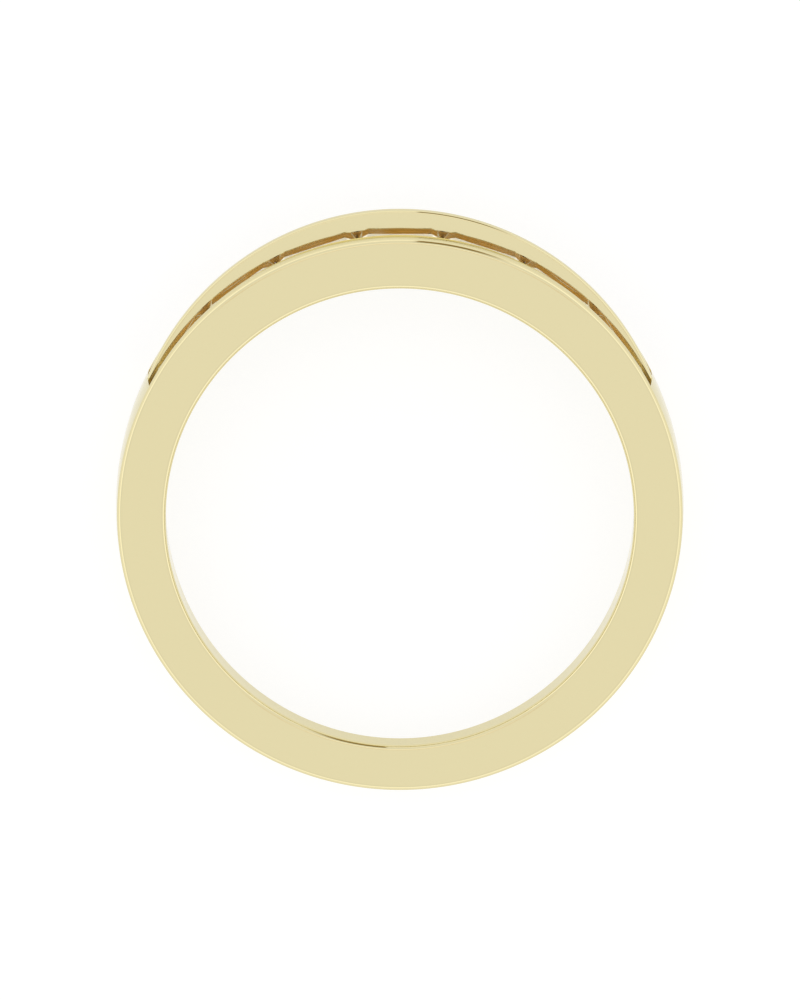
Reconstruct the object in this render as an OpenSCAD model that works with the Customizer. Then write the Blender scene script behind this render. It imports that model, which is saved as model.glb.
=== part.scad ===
// Channel-set ring lying on its side: a tapered band with a raised arch round the middle of
// its head and a row of seven baguettes in a channel on each side of the arch.
// Millimetres. The head points along +Y and the side face that carries the ring is at z = 0.

/* [Finger hole] */
// Radius of the round hole for the finger
bore_r = 8.65; // [8.4:0.05:8.8]

/* [Shank] */
// Radius of the outer surface at its crown
outer_r = 10.49; // [10.4:0.01:10.6]
// Distance from the finger axis to the outer surface's centre, towards the head
outer_shift = 0.14; // [0.1:0.01:0.18]
// Radius of the gentle crown across the outer surface
crown_r = 45; // [30:1:80]
// Width of the shank, measured at the finger axis
mid_width = 4.05; // [3.9:0.01:4.3]
// Tilt of each side face, which narrows the shank away from the head, in degrees
side_tilt = 6; // [5:0.25:6.5]
// Radius of the rounded edges, outside and in the finger hole
edge_r = 0.2; // [0.1:0.01:0.25]

/* [Centre arch] */
// Radius of the arch's top
arch_r = 10.08; // [10:0.01:10.15]
// Distance from the finger axis to the arch's centre, towards the head
arch_shift = 1.13; // [1.05:0.01:1.2]
// Width of the arch between the channels
arch_width = 0.7; // [0.6:0.01:0.72]
// Lean of the arch's walls towards each other above the rails, in degrees
arch_lean = 4; // [2:0.5:6]
// Radius of the rounded edges on the arch's top
arch_edge_r = 0.1; // [0.05:0.01:0.15]

/* [Channels] */
// Width of each channel between its rail and the arch
channel_width = 1.85; // [1.8:0.01:1.9]
// Distance from the finger axis to the centre that the channels and stones follow
row_shift = 0.4; // [0.35:0.01:0.45]
// Angle at that centre from the head's middle to each end of a channel, in degrees
channel_end = 63.9; // [63.6:0.1:65]
// Radius of the ledges that the stones bear on
ledge_r = 9.59; // [9.5:0.01:9.61]
// Width of the slot between the two ledges of a channel
ledge_gap = 1.32; // [1.2:0.01:1.34]
// Radius of the floor below the stones' keels
floor_r = 9; // [8.9:0.01:9.03]
// Length of the light slot that opens the floor below each stone
light_slot_length = 1.6; // [1.2:0.05:1.7]
// Width of each light slot
light_slot_width = 0.75; // [0.6:0.05:0.9]

/* [Stones] */
// Angle from one stone to the next, in degrees
stone_pitch = 18.1; // [18.05:0.05:18.2]
// Length of a stone's girdle round the ring
stone_length = 3.08; // [3:0.01:3.09]
// Width of a stone's girdle across the ring
stone_width = 1.8; // [1.7:0.01:1.81]
// Radius of the circle that the tables touch
table_r = 10.17; // [10.15:0.01:10.2]
// Length of a table
table_length = 2.33; // [2.2:0.01:2.45]
// Width of a table
table_width = 1.28; // [1.1:0.01:1.35]
// Height of the crown above the girdle
crown_height = 0.23; // [0.2:0.01:0.25]
// Thickness of the girdle
girdle_height = 0.06; // [0.04:0.01:0.08]
// Depth of the pavilion below the girdle
pavilion_depth = 0.83; // [0.7:0.01:0.84]

/* [Hidden] */

gold = [0.89, 0.85, 0.67];
stone_white = [0.93, 0.95, 0.97];

stone_count = 7;
middle_stone = (stone_count + 1) / 2;
channel_middle = (arch_width + channel_width) / 2;
channel_top_r = 12;
// How far each channel's cut reaches into the arch, whose own walls close it again
arch_cut_reach = 0.15;
// Radius of the crowned outer surface at the rails' inner edges
rail_level_r = outer_r - pow(arch_width / 2 + channel_width, 2) / (2 * crown_r);

// Reach of the solids that the shank is cut from
blank_width = 8;
blank_r = 12;
cut_margin = 1;

// The round edges flare by this many degrees where they run into the curved faces
edge_flare = 12;
flare_reach = 0.6;
edge_steps = 10;

// Sizes of a stone's middle steps, as shares of the way from one outline to the next
crown_step = 0.6;
crown_step_drop = 0.45;
pavilion_step_length = 2.44;
pavilion_step_width = 1.18;
pavilion_step_depth = 0.35;
keel_length = 1.9;
keel_width = 0.16;

$fn = 180;

// The finger axis leans back by the side face's tilt, so that this face lies on z = 0
module lie_down()
    rotate([side_tilt, 0, 0]) translate([0, 0, mid_width / 2]) children();

// Puts a shape that is drawn round +Z with its rim at z = 0 on one of the two side faces
module on_side_face(side)
    translate([0, 0, side * mid_width / 2])
        rotate([side * side_tilt, 0, 0])
            mirror([0, 0, side < 0 ? 1 : 0]) children();

// Points of a rounded edge, from the side face to the start of its flare. A turn of 1 rounds
// an outer rim of radius r, and a turn of -1 rounds an inner rim.
function round_edge(r, turn) = [
    for (i = [0 : edge_steps])
        let (a = (90 - edge_flare) * i / edge_steps)
            [r - turn * edge_r * (1 - sin(a)), -edge_r * (1 - cos(a))]
];

// The side faces cut the round surfaces in ellipses, so the rims take the mean radius
function rim_r(r) = r * (1 + 1 / cos(side_tilt)) / 2;

// What lies inside one side face's plane and its rounded outer rim
module outer_rim_side(side) {
    r = rim_r(outer_r - pow(mid_width / 2, 2) / (2 * crown_r));
    flare_top = -edge_r * (1 - cos(90 - edge_flare));
    flare_end = flare_top - flare_reach / tan(edge_flare);
    on_side_face(side)
        translate([0, outer_shift, 0])
            rotate_extrude()
                polygon(concat(
                    [[0, 0]],
                    round_edge(r, 1),
                    [[r + flare_reach, flare_end], [blank_r, flare_end],
                     [blank_r, -blank_width], [0, -blank_width]]
                ));
}

// What the rounded inner rim of one side face takes away
module inner_rim_cut(side) {
    r = rim_r(bore_r);
    flare_top = -edge_r * (1 - cos(90 - edge_flare));
    on_side_face(side)
        rotate_extrude()
            polygon(concat(
                [[0, cut_margin], [r + edge_r, cut_margin]],
                round_edge(r, -1),
                [[r - flare_reach, flare_top - flare_reach / tan(edge_flare)],
                 [0, flare_top - flare_reach / tan(edge_flare)]]
            ));
}

// Ring of metal with a gently crowned outer surface
module crowned_blank()
    translate([0, outer_shift, 0])
        rotate_extrude()
            intersection() {
                translate([0, -blank_width / 2]) square([outer_r, blank_width]);
                translate([outer_r - crown_r, 0]) circle(r = crown_r);
            }

// Foot of the arch: the straight wall between the channels, up to the rails' inner edges
module arch_foot()
    translate([0, outer_shift, 0])
        rotate_extrude()
            translate([bore_r, -arch_width / 2]) square([rail_level_r - bore_r, arch_width]);

// Raised arch: a round bar whose walls lean above the rails, with rounded top edges
module arch_blank() {
    lean_start_r = outer_shift + rail_level_r - arch_shift;
    top_half = arch_width / 2 - (arch_r - lean_start_r) * tan(arch_lean);
    translate([0, arch_shift, 0])
        rotate_extrude()
            union() {
                polygon([
                    [bore_r, -arch_width / 2], [lean_start_r, -arch_width / 2],
                    [arch_r - arch_edge_r, -top_half], [arch_r, -top_half + arch_edge_r],
                    [arch_r, top_half - arch_edge_r], [arch_r - arch_edge_r, top_half],
                    [lean_start_r, arch_width / 2], [bore_r, arch_width / 2]
                ]);
                for (s = [-1, 1])
                    translate([arch_r - arch_edge_r, s * (top_half - arch_edge_r)])
                        circle(r = arch_edge_r);
            }
}

// Part of a ring from a radius outwards, between two heights
module channel_ring(inner_r, low, high)
    translate([0, row_shift, 0]) rotate([0, 0, 90 - channel_end])
        rotate_extrude(angle = 2 * channel_end)
            translate([inner_r, low]) square([channel_top_r - inner_r, high - low]);

// Places children at a stone's angle, with +Y outwards from the row's centre
module at_stone(i)
    translate([0, row_shift, 0])
        rotate([0, 0, (middle_stone - i) * stone_pitch]) children();

// Slot with round ends through the floor below one stone
module light_slot(i) {
    straight = light_slot_length - light_slot_width;
    reach = floor_r + row_shift - bore_r + 2 * cut_margin;
    at_stone(i)
        translate([0, floor_r + cut_margin - reach, 0])
            rotate([-90, 0, 0]) {
                for (s = [-1, 1])
                    translate([s * straight / 2, 0, 0]) cylinder(d = light_slot_width, h = reach);
                translate([-straight / 2, -light_slot_width / 2, 0])
                    cube([straight, light_slot_width, reach]);
            }
}

// The channel that one row of stones lies in, down to its ledges
module channel_cut(side)
    mirror([0, 0, side < 0 ? 1 : 0])
        channel_ring(ledge_r, arch_width / 2 - arch_cut_reach, arch_width / 2 + channel_width);

// The slot between one channel's ledges, and the light slots in its floor
module row_cut(side)
    translate([0, 0, side * channel_middle]) {
        channel_ring(floor_r, -ledge_gap / 2, ledge_gap / 2);
        for (i = [1 : stone_count]) light_slot(i);
    }

module band()
    color(gold) lie_down()
        difference() {
            union() {
                difference() {
                    intersection() {
                        crowned_blank();
                        outer_rim_side(1);
                        outer_rim_side(-1);
                    }
                    channel_cut(1);
                    channel_cut(-1);
                }
                arch_foot();
                arch_blank();
            }
            cylinder(r = bore_r, h = 2 * blank_width, center = true);
            inner_rim_cut(1);
            inner_rim_cut(-1);
            row_cut(1);
            row_cut(-1);
        }

// Outlines of a stone from its table down to its keel: length, width and depth
function share(a, b, t) = a + (b - a) * t;
function stone_outlines() = [
    [table_length, table_width, 0],
    [share(table_length, stone_length, crown_step), share(table_width, stone_width, crown_step),
     crown_height * crown_step_drop],
    [stone_length, stone_width, crown_height],
    [stone_length, stone_width, crown_height + girdle_height],
    [pavilion_step_length, pavilion_step_width,
     crown_height + girdle_height + pavilion_step_depth],
    [keel_length, keel_width, crown_height + girdle_height + pavilion_depth]
];

// Step-cut baguette with its table at the origin and its keel towards -Y
module baguette() {
    outlines = stone_outlines();
    corners = [[-1, -1], [1, -1], [1, 1], [-1, 1]];
    last = len(outlines) - 1;
    points = [
        for (o = outlines) for (c = corners) [c[0] * o[0] / 2, -o[2], c[1] * o[1] / 2]
    ];
    sides = [
        for (k = [0 : last - 1]) for (j = [0 : 3])
            [4 * k + j, 4 * k + (j + 1) % 4, 4 * (k + 1) + (j + 1) % 4, 4 * (k + 1) + j]
    ];
    polyhedron(points, concat([[3, 2, 1, 0]], sides, [[for (j = [0 : 3]) 4 * last + j]]));
}

module stone(side, i)
    color(stone_white) lie_down()
        translate([0, 0, side * channel_middle])
            at_stone(i) translate([0, table_r, 0]) baguette();

band();
stone(1, 1);  // upper_stone_1
stone(1, 2);  // upper_stone_2
stone(1, 3);  // upper_stone_3
stone(1, 4);  // upper_stone_4
stone(1, 5);  // upper_stone_5
stone(1, 6);  // upper_stone_6
stone(1, 7);  // upper_stone_7
stone(-1, 1);  // lower_stone_1
stone(-1, 2);  // lower_stone_2
stone(-1, 3);  // lower_stone_3
stone(-1, 4);  // lower_stone_4
stone(-1, 5);  // lower_stone_5
stone(-1, 6);  // lower_stone_6
stone(-1, 7);  // lower_stone_7
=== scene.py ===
"""A channel-set ring lying on its side on a plain pale floor, seen almost from straight above.

The band is built again here as a fine swept mesh with the sizes of its CAD solid, and the stones
keep their CAD meshes. The ring's sizes are millimetres in its own frame: the finger axis is Z, the
head points along +Y, and the mid-plane is z = 0. lay_down() turns it into the row's frame.
"""

import math

import bmesh
import bpy
import numpy as np
from mathutils import Matrix, Vector


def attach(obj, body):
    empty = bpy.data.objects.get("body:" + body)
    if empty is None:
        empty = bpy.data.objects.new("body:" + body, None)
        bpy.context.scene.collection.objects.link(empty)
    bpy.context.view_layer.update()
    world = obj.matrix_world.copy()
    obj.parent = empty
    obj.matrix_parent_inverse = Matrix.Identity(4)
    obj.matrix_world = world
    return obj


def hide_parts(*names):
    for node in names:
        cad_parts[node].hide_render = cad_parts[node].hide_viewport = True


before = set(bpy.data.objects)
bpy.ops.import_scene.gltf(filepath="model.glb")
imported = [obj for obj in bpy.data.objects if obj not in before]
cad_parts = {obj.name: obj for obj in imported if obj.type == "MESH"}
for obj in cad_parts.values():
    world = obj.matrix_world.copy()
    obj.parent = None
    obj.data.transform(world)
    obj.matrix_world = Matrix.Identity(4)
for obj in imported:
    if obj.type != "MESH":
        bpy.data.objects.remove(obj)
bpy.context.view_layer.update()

MM = 0.001

# Shank
BORE_R = 8.65
OUTER_R = 10.49
OUTER_SHIFT = 0.14
CROWN_R = 45.0
MID_WIDTH = 4.05
SIDE_TILT = math.radians(6)
EDGE_R = 0.2

# Arch round the middle of the head
ARCH_R = 10.08
ARCH_SHIFT = 1.13
ARCH_LEAN = math.radians(4)
ARCH_EDGE_R = 0.1
ARCH_HALF = 0.35

# Channels, their ledges and the light slots under the stones
CHANNEL_WIDTH = 1.85
ROW_SHIFT = 0.4
CHANNEL_END = math.radians(63.9)
LEDGE_R = 9.59
LEDGE_GAP = 1.32
FLOOR_R = 9.0
TABLE_R = 10.17
GIRDLE_R = 9.94
TABLE_SIZE = (2.33, 1.28)
GIRDLE_SIZE = (3.08, 1.8)
STONE_PITCH = math.radians(18.1)
STONE_COUNT = 7
SLOT_LENGTH = 1.6
SLOT_WIDTH = 0.75
SLOT_REACH = 2.0

CHANNEL_MIDDLE = ARCH_HALF + CHANNEL_WIDTH / 2
RAIL_Z = ARCH_HALF + CHANNEL_WIDTH
RAIL_LEVEL_R = OUTER_R - RAIL_Z ** 2 / (2 * CROWN_R)
LEAN_START_R = OUTER_SHIFT + RAIL_LEVEL_R - ARCH_SHIFT
ARCH_TOP_HALF = ARCH_HALF - (ARCH_R - LEAN_START_R) * math.tan(ARCH_LEAN)
ARCH_WALL_R = ARCH_R - ARCH_EDGE_R
WORN_EDGE_R = 0.03
WORN_Z = RAIL_Z + WORN_EDGE_R

# Fineness of the swept mesh
RING_STEP = math.radians(1)
FILLET_STEPS = 10
SMALL_ROUND_STEPS = 4
SLOT_END_STEPS = 16
# Distances of the points that keep the shading flat beside an edge
SUPPORT = 0.015
CORNER_SUPPORT = 0.02
WALL_SUPPORT = 0.01
MAX_SUPPORT_SHARE = 0.25
# Offset of the wall's first point above the place where it starts to lean
LEAN_STEP = 0.002
# Where the outline runs when the channels are closed, as shares of the rail's and the arch's heights
CLOSED_RAIL_SHARE = 0.9
CLOSED_ARCH_SHARE = 1.1
MERGE_DISTANCE = 1e-8
DEGENERATE_LENGTH = 1e-9
SHARP_ANGLE = math.radians(28)

# Photograph: image size, scale and where the ring's centre shows in it
IMAGE_W = 800
IMAGE_H = 1000
PX_PER_MM = 27.06
CENTRE_PX = (399.85, 509.9)
VIEW_LEAN = math.radians(2)
CAMERA_AWAY = 0.3

WHITE = (1, 1, 1, 1)
GOLD = (0.775, 0.694, 0.413, 1)
GOLD_GRAZING = (0.86, 0.83, 0.66, 1)
# Painted shade in the channels: brown, more olive towards their ends, standing in for the light
# bounced between their gold walls
RECESS_PAINTED_SHADE = (0.62, 0.36, 0.09, 1)
RECESS_END_PAINTED_SHADE = (0.58, 0.42, 0.12, 1)
RECESS_ROUGH = 0.3
# Drop below the rails' level at which the channels' painted shade starts and is full
RECESS_START = 0.005
RECESS_FULL = 0.05
# Reach of that painted shade past the channels' walls and the finger hole
RAIL_MARGIN = 0.01
ARCH_MARGIN = 0.001
BORE_MARGIN = 0.05
RECESS_MIN_Y = 4
# Heights along +Y between which the channels' painted shade turns more olive
END_GOLD_START_Y = 7
END_GOLD_FULL_Y = 5.5
HAZE_SCALE = 900
HAZE_DETAIL = 3
HAZE_LOW = 0.3
HAZE_HIGH = 0.7
POLISHED_ROUGH = 0.04
HAZY_ROUGH = 0.1
STONE = (0.97, 0.98, 1, 1)
# Painted reflection on the stones' long crown facets: its cream colour, and below, the share of the
# facets that shows it opaquely
CROWN_GLINT = (0.97, 0.9, 0.66, 1)
STONE_IOR = 1.55
CROWN_GLINT_SHARE = 0.7
# The crown's facets end this far below the table
TABLE_MARGIN = 0.002
FLOOR_HALF = 0.4
FLOOR_COLOUR = (0.25, 0.25, 0.25, 1)
FLOOR_ROUGH = 0.9
FLOOR_GLOW = 0.8

# Light: azimuths are measured from +Y towards +X
GLOW = 0.3
GLOW_HEAD = math.radians(3)
GLOW_SIDES = math.radians(20)
GLOW_CORE = math.radians(5)
GLOW_REACH = math.radians(18)
SIDES_START = math.radians(25)
SIDES_END = math.radians(60)
BAND_DIP = 0.06
DIP_TOP = math.radians(61)
DIP_TOP_FULL = math.radians(52)
DIP_FOOT = math.radians(30)
DIP_FOOT_FULL = math.radians(42)
SCREEN_EDGE = math.radians(4.2)
SCREEN_EDGE_SOFT = math.radians(0.6)
SCREEN_FADE_START = math.radians(20)
SCREEN_FADE_END = math.radians(32)
SCREEN_TOP = math.radians(45)
SCREEN_TOP_SOFT = math.radians(8)
SCREEN_COLOUR = (0.3, 0.22, 0.09, 1)
LENS_RING = math.radians(16.4)
LENS_RING_HALF = math.radians(2.2)
LENS_RING_CUT = (-0.03, 0.02)
LENS_RING_COLOUR = (0.72, 0.42, 0.11, 1)
PATCH = 0.35
PATCH_START = math.radians(19.5)
PATCH_START_SOFT = math.radians(2)
PATCH_END = math.radians(30)
PATCH_END_SOFT = math.radians(4)
PATCH_CUT = (0.22, 0.34)


def reach(radius, shift, phi):
    """Distance from the row's centre to a circle round (0, shift), at the angle phi from +Y."""
    off = shift - ROW_SHIFT
    return off * math.cos(phi) + math.sqrt(radius ** 2 - (off * math.sin(phi)) ** 2)


def arc(centre, radius, start, end, steps):
    """Points of an arc in the section plane, from one angle to another."""
    turns = np.linspace(start, end, steps + 1)
    return [(centre[0] + radius * math.cos(a), centre[1] + radius * math.sin(a)) for a in turns]


def line(start, end, shares):
    """Points between two points of the section plane, at these shares of the way."""
    return [tuple(np.add(start, np.multiply(share, np.subtract(end, start)))) for share in shares]


def supported(start, end, support=SUPPORT, parts=1):
    """Points between two points, with one close to each end that keeps the shading flat there."""
    length = math.dist(start, end)
    edge = min(support / length, MAX_SUPPORT_SHARE)
    inner = list(np.linspace(edge, 1 - edge, parts + 1))
    return line(start, end, inner)


class Section:
    """The band's outline in the half-plane through the row's centre, as (distance, height) points."""

    def __init__(self, phi):
        self.phi = phi
        self.bore = reach(BORE_R, 0, phi)
        self.top = reach(OUTER_R, OUTER_SHIFT, phi)
        self.arch = reach(ARCH_R, ARCH_SHIFT, phi)
        self.slope = math.cos(phi) * math.tan(SIDE_TILT)
        self.side = MID_WIDTH / 2 + ROW_SHIFT * math.tan(SIDE_TILT)
        self.lean = math.hypot(1, self.slope)

    def crown(self, z):
        """Distance of the crowned outer surface at the height z."""
        return self.top - CROWN_R + math.sqrt(CROWN_R ** 2 - z ** 2)

    def rim(self):
        """Bore, rounded inner edge, side face, rounded outer edge, up to the rail's top."""
        inner_r = self.bore + EDGE_R
        inner = (inner_r, self.side + self.slope * inner_r - EDGE_R * self.lean)
        up = math.atan2(1, -self.slope)
        # The outer edge's centre lies EDGE_R inside both the crown's circle and the side face
        x0 = self.top - CROWN_R
        z0 = self.side - EDGE_R * self.lean
        a = 1 + self.slope ** 2
        b = 2 * (self.slope * z0 - x0)
        c = x0 ** 2 + z0 ** 2 - (CROWN_R - EDGE_R) ** 2
        x = (-b + math.sqrt(b ** 2 - 4 * a * c)) / (2 * a)
        outer = (x, z0 + self.slope * x)
        out = math.atan2(outer[1], outer[0] - x0)
        inner_arc = arc(inner, EDGE_R, math.pi, up, FILLET_STEPS)
        outer_arc = arc(outer, EDGE_R, up, out, FILLET_STEPS)
        bore = supported((self.bore, 0), inner_arc[0], parts=6)
        return ([(self.bore, 0)] + bore + inner_arc
                + supported(inner_arc[-1], outer_arc[0], parts=4) + outer_arc)

    def rail_top(self, start_z, end_z, parts):
        """Points along the crown between two heights."""
        return [(self.crown(z), z) for z in np.linspace(start_z, end_z, parts + 1)]

    def arch_wall(self, r):
        """Half the arch's width at the distance r."""
        off = ARCH_SHIFT - ROW_SHIFT
        arch_radius = math.sqrt(r ** 2 - 2 * r * off * math.cos(self.phi) + off ** 2)
        share = (ARCH_WALL_R - arch_radius) / (ARCH_WALL_R - LEAN_START_R)
        return ARCH_TOP_HALF + share * (ARCH_HALF - ARCH_TOP_HALF)

    def channel(self):
        """Wall, ledge, slot between the ledges, and the other ledge, up to the arch's foot."""
        low = CHANNEL_MIDDLE - LEDGE_GAP / 2
        high = CHANNEL_MIDDLE + LEDGE_GAP / 2
        corners = [(LEDGE_R, RAIL_Z), (LEDGE_R, high), (FLOOR_R, high),
                   (FLOOR_R, low), (LEDGE_R, low)]
        start = math.asin(WORN_Z / (CROWN_R - WORN_EDGE_R))
        worn = (self.top - CROWN_R + (CROWN_R - WORN_EDGE_R) * math.cos(start), WORN_Z)
        points = arc(worn, WORN_EDGE_R, start, -math.pi / 2, SMALL_ROUND_STEPS)
        for corner in corners:
            points += supported(points[-1], corner, support=CORNER_SUPPORT)
            points.append(corner)
        return points

    def arch_half(self):
        """The arch in two lists: its wall, then its rounded edge and top up to the mid-plane."""
        foot = (LEDGE_R, ARCH_HALF)
        level = self.crown(RAIL_Z)
        shoulder = (level, ARCH_HALF)
        lean_start = (level + LEAN_STEP, min(ARCH_HALF - LEAN_STEP, self.arch_wall(level)))
        centre = (self.arch - ARCH_EDGE_R, ARCH_TOP_HALF - ARCH_EDGE_R)
        round_top = arc(centre, ARCH_EDGE_R, math.pi / 2, 0, FILLET_STEPS)
        wall = ([foot] + supported(foot, shoulder, support=CORNER_SUPPORT, parts=2)
                + [shoulder, lean_start]
                + supported(lean_start, round_top[0], support=WALL_SUPPORT, parts=3))
        middle = (self.arch, 0)
        return wall, round_top + supported(round_top[-1], middle) + [middle]

    def half(self, with_channel):
        """Points from the bore's middle round the upper half to the middle of the outer surface."""
        rim = self.rim()
        channel = self.channel()
        arch_wall, arch_top = self.arch_half()
        rail_end = channel[0][1]
        if not with_channel:
            rail_end = min(rail_end, rim[-1][1] * CLOSED_RAIL_SHARE)
            channel = self.rail_top(rail_end, ARCH_HALF * CLOSED_ARCH_SHARE, len(channel) - 1)
            arch_wall = [(self.crown(ARCH_HALF), ARCH_HALF)] * len(arch_wall)
            arch_top = [(max(r, self.crown(z)), z) for r, z in arch_top]
        rail = self.rail_top(rim[-1][1] - SUPPORT, rail_end + SUPPORT, 3)
        return rim + rail + channel + arch_wall + arch_top

    def loop(self, with_channel):
        """The whole outline: the upper half, then its mirror image on the way back."""
        half = self.half(with_channel)
        return half + [(r, -z) for r, z in half[-2:0:-1]]


def lay_down(points):
    """Turns points of the ring's own frame, in millimetres, into the row's frame, in metres."""
    turn = Matrix.Rotation(SIDE_TILT, 3, "X")
    lifted = np.asarray(points, float) + (0, 0, MID_WIDTH / 2)
    return lifted @ np.array(turn).T * MM


def sweep_angles():
    """Angles round the row's centre, each with whether the channels are open there."""
    open_steps = round(2 * CHANNEL_END / RING_STEP)
    closed_steps = round((2 * math.pi - 2 * CHANNEL_END) / RING_STEP)
    opened = np.linspace(-CHANNEL_END, CHANNEL_END, open_steps + 1)
    closed = np.linspace(CHANNEL_END, 2 * math.pi - CHANNEL_END, closed_steps + 1)
    return [(a, True) for a in opened] + [(a, False) for a in closed]


def swept_band():
    """The band's closed mesh without its light slots."""
    rings = []
    for phi, with_channel in sweep_angles():
        loop = Section(phi).loop(with_channel)
        rings.append([(r * math.sin(phi), ROW_SHIFT + r * math.cos(phi), z) for r, z in loop])
    count = len(rings[0])
    bm = bmesh.new()
    verts = [bm.verts.new(p) for p in lay_down(np.reshape(rings, (-1, 3)))]
    for i in range(len(rings)):
        here = i * count
        there = (i + 1) % len(rings) * count
        for j in range(count):
            k = (j + 1) % count
            bm.faces.new((verts[here + j], verts[here + k], verts[there + k], verts[there + j]))
    bmesh.ops.remove_doubles(bm, verts=bm.verts, dist=MERGE_DISTANCE)
    bmesh.ops.dissolve_degenerate(bm, edges=bm.edges, dist=DEGENERATE_LENGTH)
    bmesh.ops.recalc_face_normals(bm, faces=bm.faces)
    mesh = bpy.data.meshes.new("polished_band")
    bm.to_mesh(mesh)
    bm.free()
    return mesh


def slot_cutter():
    """One closed mesh with the fourteen light slots, each a bar with one round and one hollow end."""
    half_straight = (SLOT_LENGTH - SLOT_WIDTH) / 2
    outline = []
    for side in (1, -1):
        turn = side * math.pi / 2
        outline += arc((side * half_straight, 0), SLOT_WIDTH / 2, -turn, turn, SLOT_END_STEPS)
    bm = bmesh.new()
    low = FLOOR_R - SLOT_REACH / 2
    for height in (-CHANNEL_MIDDLE, CHANNEL_MIDDLE):
        for i in range(STONE_COUNT):
            phi = (i - (STONE_COUNT - 1) / 2) * STONE_PITCH
            ends = []
            for r in (low, low + SLOT_REACH):
                points = [(x * math.cos(phi) + r * math.sin(phi),
                           ROW_SHIFT + r * math.cos(phi) - x * math.sin(phi),
                           height + z) for x, z in outline]
                ends.append([bm.verts.new(p) for p in lay_down(points)])
            count = len(outline)
            bm.faces.new(ends[0])
            bm.faces.new(ends[1][::-1])
            for j in range(count):
                k = (j + 1) % count
                bm.faces.new((ends[0][k], ends[0][j], ends[1][j], ends[1][k]))
    bmesh.ops.recalc_face_normals(bm, faces=bm.faces)
    mesh = bpy.data.meshes.new("slot_cutter")
    bm.to_mesh(mesh)
    bm.free()
    return mesh


def make_band():
    """The finished band: the sweep with its light slots cut, shaded smooth between sharp edges."""
    blank = bpy.data.objects.new("blank", swept_band())
    cutter = bpy.data.objects.new("cutter", slot_cutter())
    for obj in (blank, cutter):
        bpy.context.scene.collection.objects.link(obj)
    cut = blank.modifiers.new("cut", "BOOLEAN")
    cut.operation = "DIFFERENCE"
    cut.solver = "EXACT"
    cut.object = cutter
    bpy.context.view_layer.update()
    evaluated = blank.evaluated_get(bpy.context.evaluated_depsgraph_get())
    mesh = bpy.data.meshes.new_from_object(evaluated)
    mesh.name = "polished_band"
    for obj in (blank, cutter):
        bpy.data.objects.remove(obj)
    mesh.shade_smooth()
    mesh.set_sharp_from_angle(angle=SHARP_ANGLE)
    band = bpy.data.objects.new("polished_band", mesh)
    bpy.context.scene.collection.objects.link(band)
    return band


def new_material(name):
    """A node material and its surface shader."""
    material = bpy.data.materials.new(name)
    material.use_nodes = True
    return material, material.node_tree, material.node_tree.nodes["Principled BSDF"]


def math_node(tree, operation, first, second=None):
    """Output of a math node whose inputs are sockets or numbers."""
    node = tree.nodes.new("ShaderNodeMath")
    node.operation = operation
    for socket, value in zip(node.inputs, (first, second)):
        if isinstance(value, bpy.types.NodeSocket):
            tree.links.new(value, socket)
        elif value is not None:
            socket.default_value = value
    return node.outputs[0]


def ease(tree, value, start, end):
    """Output that goes smoothly from 0 to 1 as the value goes from start to end."""
    node = tree.nodes.new("ShaderNodeMapRange")
    node.interpolation_type = "SMOOTHSTEP"
    node.inputs["From Min"].default_value = start
    node.inputs["From Max"].default_value = end
    tree.links.new(value, node.inputs["Value"])
    return node.outputs["Result"]


def product(tree, factors):
    """Output of all the factors multiplied together."""
    result = factors[0]
    for factor in factors[1:]:
        result = math_node(tree, "MULTIPLY", result, factor)
    return result


def colour_mix(tree, share, first, second):
    """Output that goes from the first colour to the second as the share goes from 0 to 1."""
    node = tree.nodes.new("ShaderNodeMix")
    node.data_type = "RGBA"
    tree.links.new(share, node.inputs[0])
    for socket, value in zip(node.inputs[6:8], (first, second)):
        if isinstance(value, bpy.types.NodeSocket):
            tree.links.new(value, socket)
        else:
            socket.default_value = value
    return node.outputs[2]


def upright_axes(tree):
    """Outputs x, y and z in the ring's own frame, in millimetres."""
    place = tree.nodes.new("ShaderNodeTexCoord")
    upright = tree.nodes.new("ShaderNodeMapping")
    upright.inputs["Scale"].default_value = (1 / MM, 1 / MM, 1 / MM)
    upright.inputs["Rotation"].default_value = (-SIDE_TILT, 0, 0)
    upright.inputs["Location"].default_value = (0, 0, -MID_WIDTH / 2)
    tree.links.new(place.outputs["Object"], upright.inputs["Vector"])
    axes = tree.nodes.new("ShaderNodeSeparateXYZ")
    tree.links.new(upright.outputs["Vector"], axes.inputs[0])
    return axes.outputs


def distance(tree, x, y):
    """Output of the distance from the origin to (x, y)."""
    squares = [math_node(tree, "POWER", value, 2) for value in (x, y)]
    return math_node(tree, "SQRT", math_node(tree, "ADD", *squares))


def recess_shade_mask(tree):
    """Output that is 1 in the channels, below the rails' edges, where shade is painted, and 0 on the
    rest of the band.
    """
    x, y, z = upright_axes(tree)
    radius = distance(tree, x, math_node(tree, "SUBTRACT", y, OUTER_SHIFT))
    height = math_node(tree, "ABSOLUTE", z)
    return product(tree, [
        ease(tree, radius, RAIL_LEVEL_R - RECESS_START, RAIL_LEVEL_R - RECESS_FULL),
        math_node(tree, "LESS_THAN", height, RAIL_Z + RAIL_MARGIN),
        math_node(tree, "GREATER_THAN", height, ARCH_HALF - ARCH_MARGIN),
        math_node(tree, "GREATER_THAN", distance(tree, x, y), BORE_R + BORE_MARGIN),
        math_node(tree, "GREATER_THAN", y, RECESS_MIN_Y),
    ])


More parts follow.
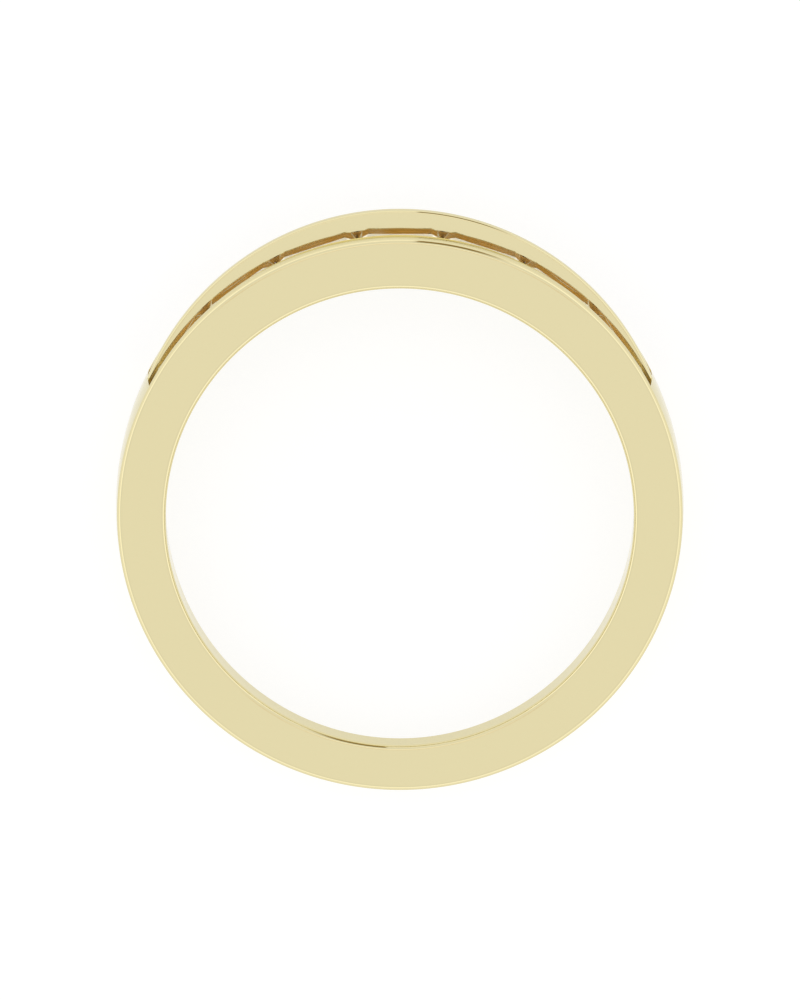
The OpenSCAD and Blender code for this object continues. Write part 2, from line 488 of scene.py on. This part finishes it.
def crown_mask(tree):
    """Output that is 1 on the long sloping facets of the stones' crowns, and 0 elsewhere on them."""
    x, y, z = upright_axes(tree)
    from_row = math_node(tree, "SUBTRACT", y, ROW_SHIFT)
    reach_out = distance(tree, x, from_row)
    turn = math_node(tree, "ARCTAN2", x, from_row)
    half_on = math_node(tree, "ADD", turn, STONE_PITCH / 2)
    own_turn = math_node(tree, "SNAP", half_on, STONE_PITCH)
    off_turn = math_node(tree, "SUBTRACT", turn, own_turn)
    height = math_node(tree, "MULTIPLY", reach_out, math_node(tree, "COSINE", off_turn))
    sideways = math_node(tree, "MULTIPLY", reach_out, math_node(tree, "SINE", off_turn))
    along = math_node(tree, "ABSOLUTE", sideways)
    off_middle = math_node(tree, "SUBTRACT", math_node(tree, "ABSOLUTE", z), CHANNEL_MIDDLE)
    across = math_node(tree, "ABSOLUTE", off_middle)
    # The mitres between long and short facets run from the table's corners to the girdle's
    slope = (GIRDLE_SIZE[0] - TABLE_SIZE[0]) / (GIRDLE_SIZE[1] - TABLE_SIZE[1])
    start = (TABLE_SIZE[0] - TABLE_SIZE[1] * slope) / 2
    mitre = math_node(tree, "ADD", math_node(tree, "MULTIPLY", across, slope), start)
    return product(tree, [
        math_node(tree, "GREATER_THAN", height, GIRDLE_R),
        math_node(tree, "LESS_THAN", height, TABLE_R - TABLE_MARGIN),
        math_node(tree, "LESS_THAN", along, mitre),
    ])


def gold_material():
    """Polished pale yellow gold with faint polishing haze, and painted shade in the channels: deep
    brown there, more olive towards their ends.
    """
    material, tree, shader = new_material("polished_gold")
    shader.inputs["Metallic"].default_value = 1
    shader.inputs["Specular Tint"].default_value = GOLD_GRAZING
    # Painted shade: the channels' gold turns brown, more olive towards their ends, where shade falls
    # between the gold walls
    recess = recess_shade_mask(tree)
    towards_end = ease(tree, upright_axes(tree)[1], END_GOLD_START_Y, END_GOLD_FULL_Y)
    painted_recess_shade = colour_mix(tree, towards_end, RECESS_PAINTED_SHADE, RECESS_END_PAINTED_SHADE)
    tree.links.new(colour_mix(tree, recess, GOLD, painted_recess_shade), shader.inputs["Base Color"])
    place = tree.nodes.new("ShaderNodeTexCoord")
    haze = tree.nodes.new("ShaderNodeTexNoise")
    haze.inputs["Scale"].default_value = HAZE_SCALE
    haze.inputs["Detail"].default_value = HAZE_DETAIL
    tree.links.new(place.outputs["Object"], haze.inputs["Vector"])
    rough = tree.nodes.new("ShaderNodeMapRange")
    rough.inputs["From Min"].default_value = HAZE_LOW
    rough.inputs["From Max"].default_value = HAZE_HIGH
    rough.inputs["To Min"].default_value = POLISHED_ROUGH
    rough.inputs["To Max"].default_value = HAZY_ROUGH
    tree.links.new(haze.outputs["Fac"], rough.inputs["Value"])
    cast = math_node(tree, "MULTIPLY", recess, RECESS_ROUGH)
    tree.links.new(math_node(tree, "ADD", rough.outputs["Result"], cast), shader.inputs["Roughness"])
    return material


def stone_material():
    """Colourless stone whose long sloping crown facets carry a painted reflection: a partly opaque
    cream in place of the gold and light they reflect.
    """
    material, tree, shader = new_material("clear_stone")
    shader.inputs["IOR"].default_value = STONE_IOR
    shader.inputs["Roughness"].default_value = 0.0
    crown = crown_mask(tree)
    # Painted reflection: the long crown facets are partly opaque cream
    painted_glint = math_node(tree, "MULTIPLY", crown, CROWN_GLINT_SHARE)
    tree.links.new(math_node(tree, "SUBTRACT", 1, painted_glint), shader.inputs["Transmission Weight"])
    tree.links.new(colour_mix(tree, crown, STONE, CROWN_GLINT), shader.inputs["Base Color"])
    return material


def floor_material():
    """White board lit through from below, so that only a faint shadow shows on it."""
    material, tree, shader = new_material("white_board")
    shader.inputs["Base Color"].default_value = FLOOR_COLOUR
    shader.inputs["Roughness"].default_value = FLOOR_ROUGH
    shader.inputs["Specular IOR Level"].default_value = 0
    shader.inputs["Emission Color"].default_value = WHITE
    shader.inputs["Emission Strength"].default_value = FLOOR_GLOW
    return material


def make_floor(material):
    """A wide plain floor just under the ring."""
    mesh = bpy.data.meshes.new("floor")
    half = FLOOR_HALF
    corners = [(-half, -half, 0), (half, -half, 0), (half, half, 0), (-half, half, 0)]
    mesh.from_pydata(corners, [], [(0, 1, 2, 3)])
    floor = bpy.data.objects.new("floor", mesh)
    floor.data.materials.append(material)
    bpy.context.scene.collection.objects.link(floor)


def make_world():
    """Soft white light, brighter low down, with a brown screen, a brown ring and a bright patch."""
    world = bpy.data.worlds.new("studio")
    world.use_nodes = True
    tree = world.node_tree
    background = tree.nodes["Background"]
    place = tree.nodes.new("ShaderNodeTexCoord")
    axes = tree.nodes.new("ShaderNodeSeparateXYZ")
    tree.links.new(place.outputs["Generated"], axes.inputs[0])
    x, y, z = axes.outputs
    elevation = math_node(tree, "ARCSINE", z)
    azimuth = math_node(tree, "ARCTAN2", x, y)
    sideways = ease(tree, math_node(tree, "ABSOLUTE", azimuth), SIDES_START, SIDES_END)
    rise = math_node(tree, "MULTIPLY", sideways, GLOW_SIDES - GLOW_HEAD)
    centre = math_node(tree, "ADD", rise, GLOW_HEAD)
    off_glow = math_node(tree, "ABSOLUTE", math_node(tree, "SUBTRACT", elevation, centre))
    glow = math_node(tree, "MULTIPLY", ease(tree, off_glow, GLOW_REACH, GLOW_CORE), GLOW)
    dip = product(tree, [
        ease(tree, elevation, DIP_TOP, DIP_TOP_FULL),
        ease(tree, elevation, DIP_FOOT, DIP_FOOT_FULL),
        BAND_DIP,
    ])
    even = math_node(tree, "SUBTRACT", math_node(tree, "ADD", glow, 1), dip)

    screen = product(tree, [
        ease(tree, azimuth, SCREEN_EDGE, SCREEN_EDGE + SCREEN_EDGE_SOFT),
        ease(tree, azimuth, SCREEN_FADE_END, SCREEN_FADE_START),
        ease(tree, elevation, SCREEN_TOP, SCREEN_TOP - SCREEN_TOP_SOFT),
    ])
    colour = colour_mix(tree, screen, WHITE, SCREEN_COLOUR)

    # The lens ring and the bright patch lie round the finger axis, on the head's side of the camera
    along = math_node(tree, "ADD", math_node(tree, "MULTIPLY", y, -math.sin(SIDE_TILT)),
                      math_node(tree, "MULTIPLY", z, math.cos(SIDE_TILT)))
    across = math_node(tree, "ADD", math_node(tree, "MULTIPLY", y, math.cos(SIDE_TILT)),
                       math_node(tree, "MULTIPLY", z, math.sin(SIDE_TILT)))
    off_axis = math_node(tree, "ARCCOSINE", along)
    off_ring = math_node(tree, "SUBTRACT", off_axis, LENS_RING)
    ring = product(tree, [
        ease(tree, math_node(tree, "ABSOLUTE", off_ring), LENS_RING_HALF, LENS_RING_HALF / 2),
        ease(tree, across, *LENS_RING_CUT),
    ])
    tree.links.new(colour_mix(tree, ring, colour, LENS_RING_COLOUR), background.inputs["Color"])
    patch = product(tree, [
        ease(tree, off_axis, PATCH_START, PATCH_START + PATCH_START_SOFT),
        ease(tree, off_axis, PATCH_END, PATCH_END - PATCH_END_SOFT),
        ease(tree, across, *PATCH_CUT),
        PATCH,
    ])
    tree.links.new(math_node(tree, "ADD", even, patch), background.inputs["Strength"])
    bpy.context.scene.world = world


def make_camera():
    """A camera without perspective at the photograph's angle, 8 degrees off the finger axis."""
    data = bpy.data.cameras.new("camera")
    data.type = "ORTHO"
    data.ortho_scale = IMAGE_H / PX_PER_MM * MM
    camera = bpy.data.objects.new("camera", data)
    away = Vector((0, math.sin(VIEW_LEAN), math.cos(VIEW_LEAN)))
    right = Vector((1, 0, 0))
    up = away.cross(right)
    ring_centre = Vector(lay_down([(0, 0, 0)])[0])
    shift_right = (IMAGE_W / 2 - CENTRE_PX[0]) / PX_PER_MM * MM
    shift_up = (CENTRE_PX[1] - IMAGE_H / 2) / PX_PER_MM * MM
    target = ring_centre + right * shift_right + up * shift_up
    turn = Matrix((right, up, away)).transposed().to_4x4()
    camera.matrix_world = Matrix.Translation(target + away * CAMERA_AWAY) @ turn
    bpy.context.scene.collection.objects.link(camera)
    bpy.context.scene.camera = camera


def main():
    """Builds the piece, the floor, the light and the camera."""
    gold = gold_material()
    stone = stone_material()
    band = make_band()
    band.data.materials.append(gold)
    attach(band, "root")
    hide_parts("band")
    for name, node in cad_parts.items():
        if "stone" in name:
            node.material_slots[0].material = stone
    make_floor(floor_material())
    make_world()
    make_camera()
    bpy.context.scene.view_settings.view_transform = "Standard"


main()
